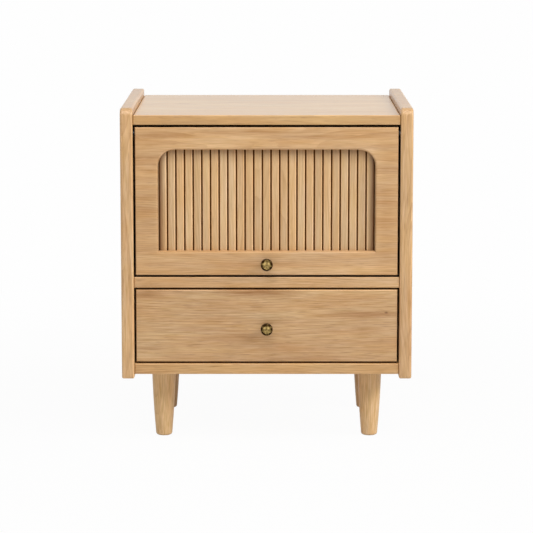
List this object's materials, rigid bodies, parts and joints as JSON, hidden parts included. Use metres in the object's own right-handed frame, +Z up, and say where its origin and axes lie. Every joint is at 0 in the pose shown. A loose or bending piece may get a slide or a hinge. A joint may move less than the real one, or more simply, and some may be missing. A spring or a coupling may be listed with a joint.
{
  "type": "bedside table with lift-up tambour-slat door and drawer",
  "caption": "Oak bedside table: raised side panels, lift-up flap door with a window of upright slats, drawer below, turned tapered legs, round brass knobs.",
  "frame": {"origin": "on the floor, under the middle of the bounding box, which runs from the knobs' faces to the side panels' back edges", "axes": "+X to the viewer's right, +Y from the front to the back, +Z up; the front faces -Y"},
  "size_m": [0.48, 0.4226, 0.5625],
  "materials": {
    "oak": "clear matt oil, grain along each piece",
    "oak_top": "clear matt oil, pale",
    "oak_slat": "clear matt oil, upright grain",
    "oak_inside": "planed and sealed",
    "dark_board": "dark stain",
    "beech": "bare, waxed where it slides",
    "brass": "turned and satin lacquered",
    "steel": "zinc plated",
    "nylon": "moulded, black"
  },
  "bodies": {
    "carcass": {"side_panel_left": "oak", "side_panel_right": "oak", "top_panel": "oak_top", "middle_shelf": "oak", "bottom_panel": "oak", "back_panel": "oak_inside", "carcass_dowels": "beech", "wood_screws": "steel", "leg_front_left": "oak", "leg_front_right": "oak", "leg_back_left": "oak", "leg_back_right": "oak", "leg_plates": "steel", "leg_bolts": "steel", "hinge_pins": "steel", "stay_housing": "steel", "catch_body": "nylon", "drawer_runner_left": "beech", "drawer_runner_right": "beech"},
    "door": {"door_frame": "oak", "tambour_backing": "dark_board", "hinge_bushes": "nylon", "stay_bracket": "steel", "catch_plate": "steel", "door_screws": "steel", "door_knob": "brass", "tambour_slat_01": "oak_slat", "tambour_slat_02": "oak_slat", "tambour_slat_03": "oak_slat", "tambour_slat_04": "oak_slat", "tambour_slat_05": "oak_slat", "tambour_slat_06": "oak_slat", "tambour_slat_07": "oak_slat", "tambour_slat_08": "oak_slat", "tambour_slat_09": "oak_slat", "tambour_slat_10": "oak_slat", "tambour_slat_11": "oak_slat", "tambour_slat_12": "oak_slat", "tambour_slat_13": "oak_slat", "tambour_slat_14": "oak_slat", "tambour_slat_15": "oak_slat", "tambour_slat_16": "oak_slat", "tambour_slat_17": "oak_slat", "tambour_slat_18": "oak_slat", "tambour_slat_19": "oak_slat", "tambour_slat_20": "oak_slat", "tambour_slat_21": "oak_slat", "tambour_slat_22": "oak_slat", "tambour_slat_23": "oak_slat", "tambour_slat_24": "oak_slat", "tambour_slat_25": "oak_slat"},
    "stay_arm": {"stay_arm": "steel"},
    "stay_link": {"stay_link": "steel"},
    "drawer": {"drawer_front": "oak", "drawer_side_left": "oak_inside", "drawer_side_right": "oak_inside", "drawer_back": "oak_inside", "drawer_bottom": "oak_inside", "drawer_knob": "brass"}
  },
  "joints": [
    {"name": "door_hinge", "type": "hinge", "parent": "carcass", "child": "door", "pos_m": [0, -0.17825, 0.52125], "axis": [-1, 0, 0], "range_deg": [0, 90]},
    {"name": "stay_arm_pivot", "type": "hinge", "parent": "carcass", "child": "stay_arm", "pos_m": [0.2, -0.06825, 0.50525], "axis": [-1, 0, 0], "range_deg": [0, 90]},
    {"name": "stay_link_pivot", "type": "hinge", "parent": "door", "child": "stay_link", "pos_m": [0.2, -0.15325, 0.45925], "axis": [-1, 0, 0], "range_deg": [-90, 0]},
    {"name": "drawer_slide", "type": "slide", "parent": "carcass", "child": "drawer", "axis": [0, -1, 0], "range_m": [0, 0.26]}
  ],
  "couplings": [
    {"joint": "stay_arm_pivot", "follows": "door_hinge", "ratio": 1},
    {"joint": "stay_link_pivot", "follows": "door_hinge", "ratio": -1}
  ]
}
